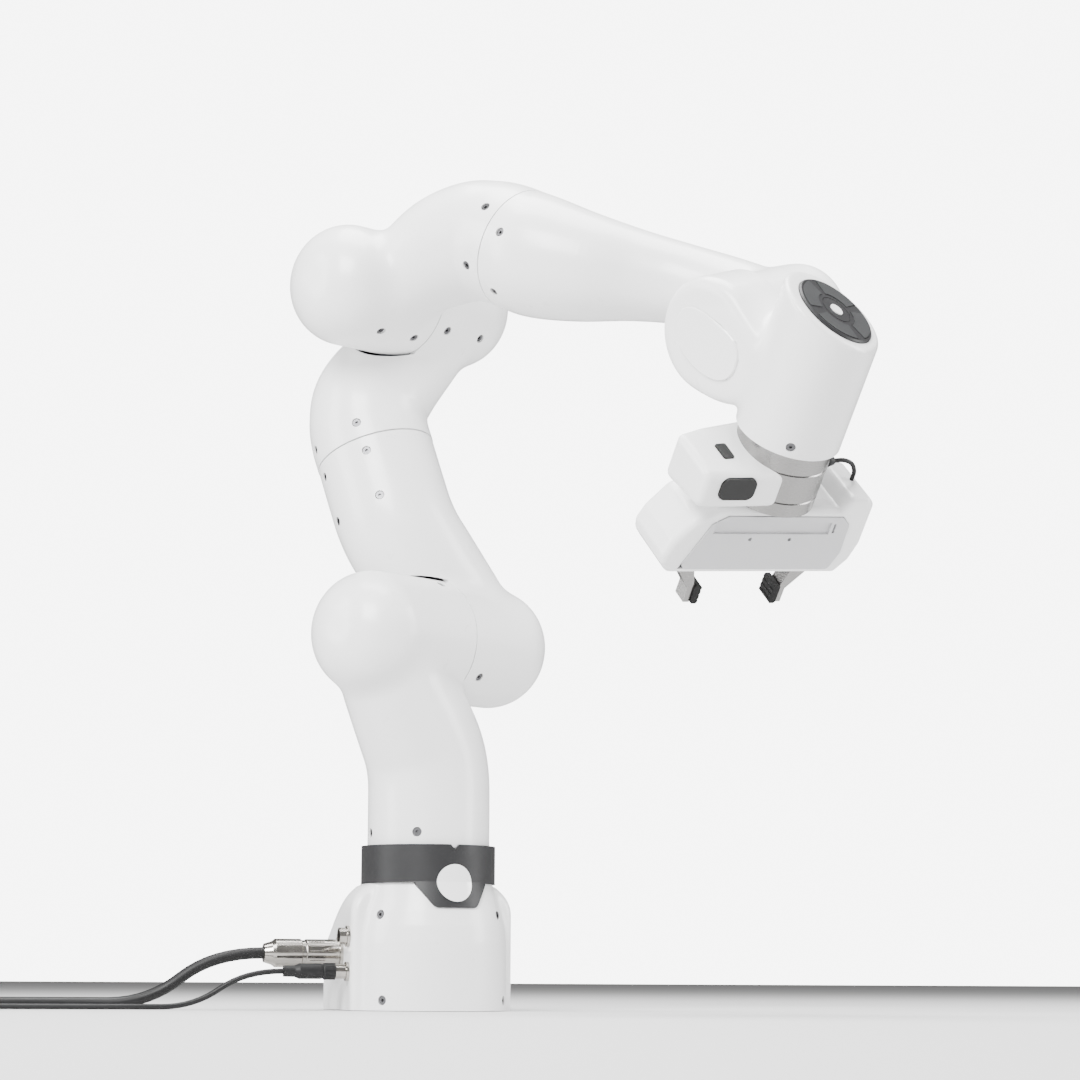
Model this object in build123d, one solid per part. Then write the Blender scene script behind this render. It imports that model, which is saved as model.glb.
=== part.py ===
from build123d import *
import os
from math import cos, pi, radians, sin, tan

# Collaborative seven-axis arm with a two-finger hand. All lengths in millimetres.
# World frame: Z up, origin on the joint-1 axis at the foot, X towards the badge.

# Joint geometry (distances between neighbouring joint axes)
SHOULDER_Z = 333.0
UPPER_ARM = 316.0
ELBOW_OFFSET = 82.5
FOREARM = 384.0
WRIST_OFFSET = 88.0
FLANGE_Z = 107.0
FLANGE_R = 41.5
REST_ANGLES = (26.0, -21.5, -1.5, -135.7, 18.0, 76.0, 65.0)

# Casings
R_ARM = 55.5
WALL = 4.0
SEAM = 0.3
BARREL_1 = 128.0
BARREL_2 = 118.0
NECK = 190.0
ELBOW_NECK = 125.7
FOREARM_SEAM = -FOREARM + ELBOW_NECK
DOME = 42.0
R_WRIST = 46.0
WRIST_SEAM_Y = 16.0
CHEEK_FACE = 38.0
WRIST_RIM = 47.0
DECK_AT = (90.0, 72.0, -1.0)
DECK_NORMAL = (0.25, 0.94, -0.20)
DISC_R = 37.0
KEY_TRAVEL = 0.8

# Base
BASE_TOP = 140.0
FOOT_R = 71.0
CONNECTOR_WALL_ANGLE = -100.0
CONNECTOR_WALL_AT = 75.0

# Connectors on the side wall: hole radius, body radius (open socket, power, signal)
SOCKETS = ((8.0, 7.6), (13.0, 12.6), (7.0, 6.6))
SCREW_HEAD_R = 3.7

# Joint drives
BORE_R = 13.0
SHAFT_FIT = 0.06
DRIVE_LONG = 62.0
NECK_DRIVE_LONG = 46.0

# Collar, keys and grip
COLLAR_R = 60.4
BADGE_R = 16.5
KEY_RING = (18.5, 34.0)
GRIP_TURN = 36.0
GRIP_SLOPE = 9.0
GRIP_LOW = 55.0
GRIP_HIGH = 100.5
CAP_OUTLINE = (
    (-31, 4), (-25, 16), (-8, 21), (14, 20), (34, 15), (42, 2), (38, -18), (22, -27), (0, -27),
    (-22, -18))

# Hand
HAND_TURN = -45.0
HAND_HALF_THICK = 31.0
HAND_DEEP = 66.0
HAND_PROFILE = (
    (60, 0), (80, 12), (95, 34), (100, 48), (98, 57), (90, 66), (-76, 66), (-87, 52),
    (-92, 34), (-92, -6), (-86, -12), (-68, -12), (-60, 0))
PLATE_PROFILE = (
    (50, 6), (63, 14), (82, 60), (-66, 60), (-73, 42), (-72, 14), (-64, 6))
FINGER_OPEN = 58.0

# Cords
POWER_D = 10.5
SIGNAL_D = 5.0
LEAD_D = 4.0
LEAD_ROUTE = ((-55, -31), (-66, -32.5), (-76, -29), (-81.5, -20.5), (-81.5, -11))
# Routes as (distance out from the connector wall, sideways, height)
POWER_ROUTE = (
    (70, -22, 50), (116, -22, 50), (172, -22, 5.35), (244, -27, 5.35), (318, -22, 5.35),
    (388, -22.5, 5.35))
SIGNAL_ROUTE = (
    (58, 12, 34), (92, 12, 34), (137, 12, 2.6), (195, 18, 2.6), (256, 14, 2.6), (322, 12, 2.6),
    (388, 12.5, 2.6))
POWER_COIL = (388, -79.5)
POWER_COIL_R = 57.0
POWER_COIL_HIGH = 63.0
SIGNAL_COIL = (388, 40)
SIGNAL_COIL_R = 27.5
SIGNAL_COIL_HIGH = 50.0


def joint_frames():
    """World location of each link frame, 0 for the base to 8 for the hand."""
    steps = [
        ((0, 0, SHOULDER_Z), 0),
        ((0, 0, 0), -90),
        ((0, -UPPER_ARM, 0), 90),
        ((ELBOW_OFFSET, 0, 0), 90),
        ((-ELBOW_OFFSET, FOREARM, 0), -90),
        ((0, 0, 0), 90),
        ((WRIST_OFFSET, 0, 0), 90),
    ]
    frames = [Location((0, 0, 0))]
    for (offset, twist), angle in zip(steps, REST_ANGLES):
        frames.append(frames[-1] * Pos(*offset) * Rot(X=twist) * Rot(Z=angle))
    frames.append(frames[-1] * Pos(0, 0, FLANGE_Z) * Rot(Z=HAND_TURN))
    return frames


def turned(points):
    """Solid of revolution about Z from (radius, height) points."""
    profile = Polyline(*[(r, 0, z) for r, z in points], close=True)
    return revolve(Plane.XZ * make_face(Plane.XZ.to_local_coords(profile)), Axis.Z)


def can(r, z0, z1):
    """Cylinder about Z from height z0 to z1."""
    return Pos(0, 0, z0) * Cylinder(r, z1 - z0, align=(Align.CENTER, Align.CENTER, Align.MIN))


def ring(r_out, r_in, z0, z1):
    return can(r_out, z0, z1) - can(r_in, z0 - 1, z1 + 1)


def barrel(r, z0, z1, dome):
    """Round housing about Z with a domed far end at z1."""
    body = can(r, min(z0, z1), max(z0, z1))
    end = body.faces().sort_by(Axis.Z)[-1 if z1 > z0 else 0]
    return fillet(end.edges(), dome)


def circles(sections):
    """Loft through circles given as (x, y, z, radius, tilt about Y)."""
    faces = [Location((x, y, z), (0, tilt, 0)) * Circle(r) for x, y, z, r, tilt in sections]
    return loft([Sketch() + f for f in faces])


def single(shape):
    """The largest solid of a boolean result."""
    return max(shape.solids(), key=lambda s: s.volume)


# ---------------------------------------------------------------- shoulder links

def shoulder_body(t):
    """Outer volume, shrunk by t: a neck down -Z that leans into a barrel along -Y."""
    r = R_ARM - t
    lean = circles([
        (0, 0, -NECK - (2 if t else 0), r - 0.5, 0),
        (0, 0, -168, r - 0.5, 0),
        (0, 0, -146, r - 0.5, 0),
        (0, -0.6, -124, r - 0.6, 0),
        (0, -6, -102, r - 0.9, 0),
        (0, -19, -80, r - 2.0, 0),
        (0, -36, -58, r - 5.0, 0),
        (0, -50, -36, r - 7.0, 0),
        (0, -60, -14, r - 9.5, 0),
    ])
    drum = Rot(X=90) * barrel(r, -2 if t else SEAM / 2, BARREL_1 - t, DOME - t)
    return lean + drum


def shoulder_casing():
    shell = shoulder_body(0) - shoulder_body(WALL)
    partner = Rot(X=-90) * can(R_ARM + 1.5, -SEAM / 2, 200)
    return single(shell - partner)


# ------------------------------------------------------------------- elbow links

def elbow_body(t):
    """Neck down -Z at X = 0 that bends to a barrel along +Y at X = ELBOW_OFFSET."""
    r = R_ARM - t
    bend = circles([
        (0, 0, -ELBOW_NECK - (2 if t else 0), r, 0),
        (0, 0, -110, r, 0),
        (2, 1, -92, r - 0.2, 5),
        (8, 6, -72, r - 1.0, 16),
        (24, 18, -52, r - 4.0, 34),
        (50, 36, -38, r - 13.0, 56),
        (80, 50, -22, r - 19.0, 74),
    ])
    drum = Rot(X=-90) * barrel(r, -2 if t else SEAM / 2, BARREL_2 - t, DOME - t)
    return bend + Pos(ELBOW_OFFSET, 0, 0) * drum


def elbow_casing():
    shell = elbow_body(0) - elbow_body(WALL)
    partner = Pos(ELBOW_OFFSET, 0, 0) * Rot(X=90) * can(R_ARM + 1.5, -SEAM / 2, 200)
    return single(shell - partner)


# ----------------------------------------------------------------------- forearm

def forearm_body(t):
    """Seam circle low on Z that narrows and leans to +Y, ending in the joint-6 drum."""
    r = R_ARM - t
    arm = circles([
        (0, 0, FOREARM_SEAM + (-2 if t else SEAM), r, 0),
        (0, 1, FOREARM_SEAM + 25, r - 0.3, 0),
        (0, 16, FOREARM_SEAM + 62, r - 6.5, 0),
        (0, 44, FOREARM_SEAM + 104, r - 15.0, 0),
        (0, 68, FOREARM_SEAM + 146, r - 20.5, 0),
        (0, 78, FOREARM_SEAM + 190, r - 22.5, 0),
        (0, 80, FOREARM_SEAM + 240, r - 23.5, 0),
    ])
    low = WRIST_SEAM_Y + (-2 if t else SEAM / 2)
    drum = Rot(X=-90) * barrel(R_WRIST - t, low, 114 - t, 26 - t)
    return arm + drum


def forearm_casing():
    return single(forearm_body(0) - forearm_body(WALL))


# ------------------------------------------------------------------------- wrist

def wrist_body(t):
    """Cheek drum about the joint-6 axis (Z) and the joint-7 housing along Y at X = 88."""
    low = -WRIST_SEAM_Y + (-2 if t else SEAM / 2)
    cheek = barrel(51.0 - t, low, CHEEK_FACE - t, 12 - t)
    cheek += Pos(24, -4, 0) * barrel(43.0 - t, low + 8, CHEEK_FACE - t, 12 - t)
    side = Location((0, 0, 0), (0, 90, 0))
    bridge = loft([
        Pos(15, 0, 10) * side * RectangleRounded(48 - 2 * t, 84 - 2 * t, 16 - t),
        Pos(WRIST_OFFSET - 12, 6, 0) * side * RectangleRounded(80 - 2 * t, 96 - 2 * t, 30 - t),
    ])
    reach = 2 if t else -SEAM / 2
    housing = Pos(WRIST_OFFSET, 0, 0) * Rot(X=90) * can(R_WRIST - t, -120, WRIST_RIM + reach)
    above = deck_place(-t) * Box(400, 400, 200, align=(Align.CENTER, Align.CENTER, Align.MIN))
    return cheek + bridge + housing - above


def wrist_casing():
    shell = wrist_body(0) - wrist_body(WALL)
    partner = can(R_WRIST + 1.5, -200, -WRIST_SEAM_Y + SEAM / 2)
    well = deck_place(0) * can(DISC_R + 0.3, -WALL - 4, 1)
    return single(shell - partner - well)


def deck_place(lift):
    """Local place of the slanted wrist top, Z outwards, raised by lift."""
    normal = Vector(*DECK_NORMAL).normalized()
    return Location(Plane(origin=Vector(*DECK_AT) + normal * lift, x_dir=(1, -0.26, 0), z_dir=normal))


# ------------------------------------------------------------------ joint drives

def drive_unit(r, long=DRIVE_LONG):
    """Motor and strain-wave gear unit behind its joint face at Z = 0, body along -Z."""
    body = turned([
        (BORE_R, -1), (r - 6, -1), (r - 6, -4), (r, -4), (r, -18), (r - 7, -22),
        (r - 7, -long + 12), (r - 12, -long + 12), (r - 12, -long), (BORE_R, -long),
    ])
    return body


def output_unit(r, long=DRIVE_LONG):
    """Output flange with torque-sensor web on +Z and a hollow shaft through the drive."""
    web = turned([
        (8, 1), (r, 1), (r, 12), (r - 6, 12), (r - 6, 6), (24, 6), (24, 11), (8, 11),
    ])
    shaft = ring(BORE_R - SHAFT_FIT, 8, -long - 4, 2)
    return web + shaft


# ------------------------------------------------------------------------- base

def foot_plan():
    """Plan of the rear housing, tapering to the back."""
    wall = radians(CONNECTOR_WALL_ANGLE)
    n = Vector(cos(wall), sin(wall))
    front_y = (CONNECTOR_WALL_AT - n.X * 14) / n.Y
    back_y = (CONNECTOR_WALL_AT + n.X * 118) / n.Y
    side = [(14, front_y), (-118, back_y), (-137, -36)]
    return side + [(x, -y) for x, y in reversed(side)]


def base_body(t):
    front = turned([
        (0, -2 if t else 0), (FOOT_R - t, -2 if t else 0), (FOOT_R - 0.5 - t, 62),
        (FOOT_R - 4 - t, 84), (60 - t, 104), (57 - t, 116), (57 - t, BASE_TOP - 2 + (4 if t else 0)),
        (0, BASE_TOP - 2 + (4 if t else 0))])
    plan = make_face(Polyline(*foot_plan(), close=True))
    rear = extrude(offset(fillet(plan.vertices(), 12), -t) if t else fillet(plan.vertices(), 12), 112 - t)
    crown = turned([
        (0, -3), (139, -3), (138, 34), (124, 60), (100, 78), (80, 96), (64, 110), (0, 112 - t)])
    rear = (rear & (crown if not t else offset_crown(t)))
    return front + (Pos(0, 0, -2) * rear if t else rear)


def offset_crown(t):
    return turned([
        (0, -3), (139 - t, -3), (138 - t, 32), (124 - t, 57), (100 - t, 75), (80 - t, 92),
        (64 - t, 107), (0, 112 - t)])


def base_casing():
    shell = base_body(0) - base_body(WALL)
    for place, (hole, _) in zip(socket_places(), SOCKETS):
        shell -= place * can(hole, -14, 3)
    for place in base_screw_places():
        shell -= place * can(SCREW_HEAD_R + 0.5, -8, 4)
    return single(shell)


def base_plate():
    """Aluminium foot plate closing the casing, drilled for four M8 bolts."""
    plate = base_body(WALL + 0.2) & Box(400, 400, 12, align=(Align.CENTER, Align.CENTER, Align.MIN))
    for x, y in bolt_places():
        plate -= Pos(x, y, 0) * can(4.5, -1, 13)
    for place in base_screw_places():
        plate -= place * can(SCREW_HEAD_R + 0.5, -8, 4)
    return single(plate)


def bolt_places():
    return [(x, y) for x in (-60, 40) for y in (-44, 44)]


def socket_places():
    """Connector places on the angled side wall, Z outwards: open, power, signal."""
    wall = radians(CONNECTOR_WALL_ANGLE)
    n = Vector(cos(wall), sin(wall), 0)
    along = Vector(-n.Y, n.X, 0)
    foot = n * CONNECTOR_WALL_AT
    places = []
    for shift, height in ((13, 65), (-22, 50), (12, 34)):
        spot = foot + along * shift + Vector(0, 0, height)
        places.append(Location(Plane(origin=spot, x_dir=(0, 0, 1), z_dir=n)))
    return places


def base_screw_places():
    """Side screws of the base casing, Z outwards."""
    places = [turned_out(a, 67.6, 84) for a in (-62, 46, 118, -118)]
    return places + [turned_out(a, 71, 9) for a in (-57, 51)]


def turned_out(angle, r, z):
    """Place on a cylinder about Z at an angle in degrees, its Z pointing outwards."""
    return Rot(Z=angle) * Pos(r, 0, z) * Rot(Y=90)


def collar_skin(lift):
    """Turned outer shape of the collar, following the base's flare, raised by lift."""
    return turned([
        (57, 146), (COLLAR_R + lift, 146), (COLLAR_R + lift, 113), (63.2 + lift, 103),
        (67.5 + lift, 88), (57, 88)])


def collar_band():
    """Dark band round the foot of link 1 with a drop tab at the front."""
    zone = extrude(Plane.YZ * tab_outline(), 100) + can(100, 112, 147)
    band = (collar_skin(0) & zone) - base_body(0)
    notch = Plane.YZ * make_face(Polyline((-5, 147), (5, 147), (0, 141.5), close=True))
    return single(band - extrude(notch, 100) - badge_disc(BADGE_R + 0.2))


def tab_outline():
    """Front outline of the drop tab in Y and Z, with rounded lower corners."""
    half_top, half_low, top, low = 34, 20, 113, 90
    outline = make_face(Polyline(
        (-half_top, top + 10), (half_top, top + 10), (half_top, top - 2),
        (half_low, low), (-half_low, low), (-half_top, top - 2), close=True))
    corners = [v for v in outline.vertices() if v.Y < top]
    return fillet(corners, 6)


def badge_disc(r):
    return Pos(0, 0, 112) * Rot(Y=90) * can(r, 30, 90)


def badge():
    """Plain round badge, curved with the collar."""
    return single((collar_skin(0.8) & badge_disc(BADGE_R)) - base_body(0))


# ---------------------------------------------------------- screws and small parts

def cap_screw():
    """Low socket head within the casing wall, its top 1 mm under Z = 0."""
    head = can(SCREW_HEAD_R, -3.5, -1.0)
    socket = Pos(0, 0, -2.8) * extrude(RegularPolygon(1.6, 6), 5)
    return head - socket


def seam_screws(r, z):
    """Four screw places round a neck about Z, 60 degrees off its side line."""
    return [turned_out(a, r, z) for a in (60, 120, 240, 300)]


def drilled(casing, places):
    for place in places:
        casing -= place * can(SCREW_HEAD_R + 0.5, -WALL - 3, 3)
    return single(casing)


def screws(places):
    return Compound(children=[place * cap_screw() for place in places])


def shoulder_screw_places():
    drum = [Rot(X=90) * p for p in seam_screws(R_ARM, 18)]
    return seam_screws(R_ARM - 0.5, -NECK + 14) + seam_screws(R_ARM - 0.5, -130)[:2] + drum[:1] + drum[3:]


def elbow_screw_places():
    drum = [Pos(ELBOW_OFFSET, 0, 0) * Rot(X=-90) * p for z in (17, 62) for p in seam_screws(R_ARM, z)]
    return seam_screws(R_ARM, -ELBOW_NECK + 15) + drum[:2] + drum[4:6]


def forearm_screw_places():
    return seam_screws(R_ARM, FOREARM_SEAM + 17)


def wrist_screw_places():
    rim = Pos(WRIST_OFFSET, 0, 0) * Rot(X=90)
    return [rim * turned_out(a, R_WRIST, WRIST_RIM - 10) for a in (-42, 48, 150)]


# -------------------------------------------------------------------- wrist parts

def cap_plate():
    """Raised plain cover on the cheek."""
    outline = make_face(Spline(*CAP_OUTLINE, periodic=True))
    plate = Pos(0, 0, CHEEK_FACE) * extrude(outline, 2.2)
    return chamfer(plate.faces().sort_by(Axis.Z)[-1].edges(), 0.8)


def control_disc():
    """Dark bezel of the control disc with pockets for its five keys."""
    body = can(DISC_R, -7, 2.2)
    body = chamfer(body.faces().sort_by(Axis.Z)[-1].edges(), 1.2)
    for k in range(4):
        body -= Pos(0, 0, -4) * extrude(key_outline(k, 0.4), 10)
    body -= can(6.4, -4, 5)
    body -= ring(14.6, 13.8, 1.6, 5)
    return single(body)


def key_outline(k, grow=0.0):
    """Sector of the key ring, k = 0..3."""
    inner = KEY_RING[0] - grow
    outer = KEY_RING[1] + grow
    half = radians(36) + grow / outer
    mid = radians(45 + 90 * k)
    a, b = mid - half, mid + half
    def on(r, t):
        return (r * cos(t), r * sin(t))
    edges = [
        ThreePointArc(on(outer, a), on(outer, mid), on(outer, b)),
        Line(on(outer, b), on(inner, b)),
        ThreePointArc(on(inner, b), on(inner, mid), on(inner, a)),
        Line(on(inner, a), on(outer, a)),
    ]
    return make_face(edges)


def segment_key(k):
    return Pos(0, 0, -2.8) * extrude(key_outline(k), 5.6)


def centre_key():
    return can(6.0, -2.8, 2.8)


# ---------------------------------------------------------------- flange and grip

def flange():
    """Aluminium tool flange (bolt face at FLANGE_Z) with the joint-7 output shaft."""
    body = turned([
        (8, WRIST_RIM - DRIVE_LONG - 4), (BORE_R - SHAFT_FIT, WRIST_RIM - DRIVE_LONG - 4),
        (BORE_R - SHAFT_FIT, WRIST_RIM + 1), (FLANGE_R, WRIST_RIM + 1), (FLANGE_R, WRIST_RIM + 18),
        (FLANGE_R - 0.8, WRIST_RIM + 18.8), (FLANGE_R, WRIST_RIM + 19.6), (FLANGE_R, FLANGE_Z - 14),
        (FLANGE_R - 0.8, FLANGE_Z - 13.2), (FLANGE_R, FLANGE_Z - 12.4), (FLANGE_R, FLANGE_Z),
        (8, FLANGE_Z)])
    for k in range(4):
        spot = Rot(Z=45 + 90 * k) * Pos(25, 0, 0)
        body -= spot * can(2.5, FLANGE_Z - 10, FLANGE_Z + 1)
    return single(body)


def grip_block(t):
    """Grip volume shrunk by t, pointing along X."""
    outline = make_face(Polyline(
        (12, -26), (20, -36), (66, -31), (96, -26), (96, 26), (66, 33), (20, 38), (10, 26),
        close=True))
    outline = fillet(outline.vertices(), 10)
    if t:
        outline = offset(outline, -t)
    block = Pos(0, 0, GRIP_LOW + t) * extrude(outline, GRIP_HIGH - GRIP_LOW - 2 * t)
    top = Box(300, 140, 60, align=(Align.CENTER, Align.MAX, Align.MAX))
    return block - Pos(0, 33, GRIP_LOW + t) * Rot(X=-GRIP_SLOPE) * top


def grip_housing():
    """White hollow guide grip clamped round the flange, with two button pockets."""
    block = grip_block(0) - (grip_block(3) - can(FLANGE_R + 4, 0, 120))
    block -= can(FLANGE_R + 0.1, 0, 120)
    block -= button_place(0) * extrude(RectangleRounded(34.8, 21.8, 7.4), 8, both=True)
    block -= button_place(1) * extrude(RectangleRounded(11.8, 18.3, 2.4), 8, both=True)
    return single(block)


def button_place(k):
    """Side button (0) and top button (1), Z outwards."""
    if k == 0:
        return Pos(64, -31.3, 79) * Rot(Z=8) * Rot(X=90)
    return Pos(64.5, -2, GRIP_LOW + 35 * tan(radians(GRIP_SLOPE))) * Rot(X=180 - GRIP_SLOPE)


def grip_button():
    return Pos(0, 0, -6) * extrude(RectangleRounded(34, 21, 7), 7.2)


def enable_button():
    return Pos(0, 0, -5) * extrude(RectangleRounded(11, 17.5, 2), 6)


# --------------------------------------------------------------------------- hand

def hand_block(t):
    """Hand volume shrunk by t; the -Y end carries a raised lug for the lead."""
    face = make_face(Polyline(*HAND_PROFILE, close=True))
    if t:
        return extrude(Plane.YZ * offset(face, -t, kind=Kind.INTERSECTION), HAND_HALF_THICK - t, both=True)
    solid = extrude(Plane.YZ * face, HAND_HALF_THICK, both=True)
    rims = [e for e in solid.edges() if abs(e.center().X) > HAND_HALF_THICK - 1 and e.center().Z < 60]
    return fillet(rims, 5)


def hand_housing():
    """White hand casing, open inside, with a finger slot each side on its underside."""
    body = hand_block(0) - hand_block(3)
    for side in (1, -1):
        body -= Pos(0, side * 42.5, HAND_DEEP - 5) * extrude(RectangleRounded(23, 56, 3), 8)
    return single(body - Pos(HAND_HALF_THICK - 3.8, 0, 0) * extrude(Plane.YZ * plate_outline(0.3), 8))


def plate_outline(grow=0.0):
    outline = fillet(make_face(Polyline(*PLATE_PROFILE, close=True)).vertices(), 5)
    return offset(outline, grow) if grow else outline


def front_plate():
    """Grey plate on the hand's front with a long recess, a dark end slot and screw holes."""
    face = HAND_HALF_THICK + 1.2
    plate = Pos(HAND_HALF_THICK - 3.5, 0, 0) * extrude(Plane.YZ * plate_outline(), 4.7)
    plate -= Pos(face, 3, 17.5) * Box(4.4, 114, 12)
    plate -= Pos(face, -58, 17.5) * Box(7, 2.4, 9)
    for y in (-17, 22):
        plate -= Pos(face, y, 29) * Rot(Y=90) * can(1.8, -3, 1)
    return single(plate)


def hand_drive():
    """Finger motor with its pinion shaft inside the hand."""
    motor = Pos(0, 0, 19) * Rot(X=90) * can(11, -34, 34)
    return single(motor + Pos(0, 0, 19) * Rot(X=90) * can(4, -40, 40))


def finger(side):
    """Carriage inside the hand, cranked arm and pad mount of one finger."""
    y = side * FINGER_OPEN
    carriage = Pos(0, y, 46) * Box(20, 18, 22)
    neck = Pos(0, y, 64) * Box(16, 14, 18)
    arm = make_face(Polyline(
        (y - side * 7, 70), (y + side * 7, 70), (y + side * 5, 80), (y - side * 9, 98),
        (y - side * 9, 112), (y - side * 15, 112), (y - side * 15, 96), close=True))
    arm = extrude(Plane.YZ * arm, 8, both=True)
    return single(carriage + neck + arm)


def fingertip(side):
    """Black rubber pad on the inner face of the finger."""
    y = side * (FINGER_OPEN - 18.5)
    pad = Pos(0, y, 103) * Box(20, 7, 19)
    pad = chamfer(pad.edges().filter_by(Axis.X), 1.5)
    grooves = [Pos(0, y - side * 3.5, z) * Box(22, 1.2, 1.2) for z in (98, 103, 108)]
    for groove in grooves:
        pad -= groove
    return single(pad)


# ---------------------------------------------------------------- plugs and cords

def open_socket():
    """Round service socket, open outwards."""
    shell = ring(SOCKETS[0][1], 5.4, -12, 9) + can(SOCKETS[0][1], -12, -9)
    collar = ring(9.4, SOCKETS[0][1] - 0.1, 0, 2.4)
    pins = [Rot(Z=90 * k) * Pos(2.6, 0, 0) * can(0.6, -9.5, -3) for k in range(4)]
    body = shell + collar
    for pin in pins:
        body += pin
    return single(body)


def receptacle(k, r_flange):
    """Panel receptacle behind a plug, closed at its mating face."""
    r = SOCKETS[k][1]
    return single(can(r, -12, 12) + ring(r_flange, r - 0.1, 0, 2.6))


def power_plug():
    """Nickel bayonet plug with a coupling ring and a cable gland."""
    body = turned([
        (0, 12), (12.6, 12), (12.6, 32), (11.6, 33), (11.6, 36), (12.8, 37), (12.8, 60),
        (10.5, 63), (8.4, 70), (0, 70)])
    for k in range(18):
        body -= Rot(Z=20 * k) * Pos(12.9, 0, 16) * can(0.7, 0, 14)
    return single(body)


def signal_plug():
    """Black moulded plug with a metal-size coupling nut and a ribbed tail."""
    body = turned([
        (0, 12), (7.4, 12), (7.4, 22), (6.4, 23), (6.9, 25), (6.9, 44), (5.2, 48), (5.0, 58),
        (0, 58)])
    for k in range(12):
        body -= Rot(Z=30 * k) * Pos(7.6, 0, 13) * can(0.6, 0, 8)
    return single(body)


def far_plug(r, long):
    """Straight plug at a cord's far end, lying along Z."""
    body = turned([
        (0, 0), (r * 0.62, 0), (r, long * 0.3), (r, long * 0.72), (r * 0.8, long * 0.74),
        (r * 0.8, long), (0, long)])
    return single(body)


def wall_frame():
    """Outward normal and sideways direction of the connector wall."""
    a = radians(CONNECTOR_WALL_ANGLE)
    n = Vector(cos(a), sin(a), 0)
    return n, Vector(-n.Y, n.X, 0)


def route_points(route):
    """World points of a route given as (distance out, sideways, height)."""
    n, along = wall_frame()
    return [n * (CONNECTOR_WALL_AT + s) + along * w + Vector(0, 0, z) for s, w, z in route]


def tube(points, diameter, name):
    """Round cord along straight runs joined by tangent arcs."""
    radii = []
    for before, here, after in zip(points, points[1:], points[2:]):
        turn = radians((here - before).get_angle(after - here))
        short = min((here - before).length, (after - here).length)
        radii.append(0.45 * short / tan(turn / 2))
    path = FilletPolyline(*points, radius=radii)
    start = Plane(origin=points[0], z_dir=points[1] - points[0])
    solid = sweep(start * Circle(diameter / 2), path)
    expected = pi * diameter ** 2 / 4 * path.length
    print(name, "length", round(path.length, 1), "radii", [round(r) for r in radii],
          "volume ratio", round(solid.volume / expected, 4))
    return solid


def coil(place, r_mid, diameter, high):
    """Outer shape of a wound coil standing on the floor."""
    body = ring(r_mid + diameter / 2, r_mid - diameter / 2, 0.1, high)
    body = fillet(body.edges().filter_by(GeomType.CIRCLE), 0.3 * diameter)
    centre = route_points([(*place, 0)])[0]
    return Pos(centre.X, centre.Y, 0) * body


def hand_lead():
    """Short limp lead from the flange connector to the hand, in the hand frame."""
    lead = tube([Vector(0, y, z) for y, z in LEAD_ROUTE], LEAD_D, "hand_lead")
    return single(lead - lead_plug() - hand_block(0))


def lead_plug():
    """Connector of the lead on the flange's side, in the hand frame."""
    return single(Pos(0, -FLANGE_R - 0.1, -31) * Rot(X=90) * turned([
        (0, 0), (6.5, 0), (6.5, 5), (5.4, 6), (5.4, 9), (3.4, 14.2), (0, 14.2)]))


def far_plug_place(coil_at, depth, side, height):
    """A far plug lying on its coil, base first, pointing back towards the base."""
    n, along = wall_frame()
    s, w = coil_at
    spot = route_points([(s + depth, w + side, height)])[0]
    return Location(Plane(origin=spot, x_dir=along, z_dir=-n))


# ------------------------------------------------------------------------ assembly

def link_parts(number, place, casing, screw_places):
    name = f"link{number}"
    return {
        f"{name}_casing": place * drilled(casing, screw_places),
        f"{name}_screws": place * screws(screw_places),
    }


def arm_parts(f):
    """Casings, screws, drives and output units of links 1 to 6."""
    big = R_ARM - WALL - 0.1
    slim = R_ARM - WALL - 1.3
    small = R_WRIST - WALL - 0.1
    link2 = f[2] * Rot(X=-90)
    link4 = f[4] * Rot(X=90) * Pos(-ELBOW_OFFSET, 0, 0)
    elbow = Pos(ELBOW_OFFSET, 0, 0)
    parts = link_parts(1, f[1], shoulder_casing(), shoulder_screw_places())
    parts |= link_parts(2, link2, shoulder_casing(), shoulder_screw_places())
    parts |= link_parts(3, f[3], elbow_casing(), elbow_screw_places())
    parts |= link_parts(4, link4, elbow_casing(), elbow_screw_places())
    parts |= link_parts(5, f[5], forearm_casing(), forearm_screw_places())
    parts |= link_parts(6, f[6], wrist_casing(), wrist_screw_places())
    outputs = [
        f[1] * Pos(0, 0, -NECK) * output_unit(slim),
        link2 * Rot(X=90) * output_unit(big),
        f[3] * Pos(0, 0, -ELBOW_NECK) * output_unit(slim),
        link4 * elbow * Rot(X=-90) * output_unit(big),
        f[5] * Pos(0, 0, FOREARM_SEAM) * output_unit(slim, NECK_DRIVE_LONG),
        f[6] * Pos(0, 0, -WRIST_SEAM_Y) * output_unit(small),
    ]
    drives = [
        Pos(0, 0, SHOULDER_Z - NECK) * drive_unit(big),
        f[1] * Rot(X=-90) * drive_unit(big),
        link2 * Pos(0, 0, -NECK) * Rot(X=180) * drive_unit(slim),
        f[3] * elbow * Rot(X=90) * drive_unit(big),
        link4 * Pos(0, 0, -ELBOW_NECK) * Rot(X=180) * drive_unit(slim, NECK_DRIVE_LONG),
        f[5] * Pos(0, WRIST_SEAM_Y, 0) * Rot(X=90) * drive_unit(small),
        f[6] * Pos(WRIST_OFFSET, -WRIST_RIM, 0) * Rot(X=90) * drive_unit(small),
    ]
    parts |= {f"joint{k + 1}_output": unit for k, unit in enumerate(outputs)}
    parts |= {f"joint{k + 1}_drive": unit for k, unit in enumerate(drives)}
    return parts


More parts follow.
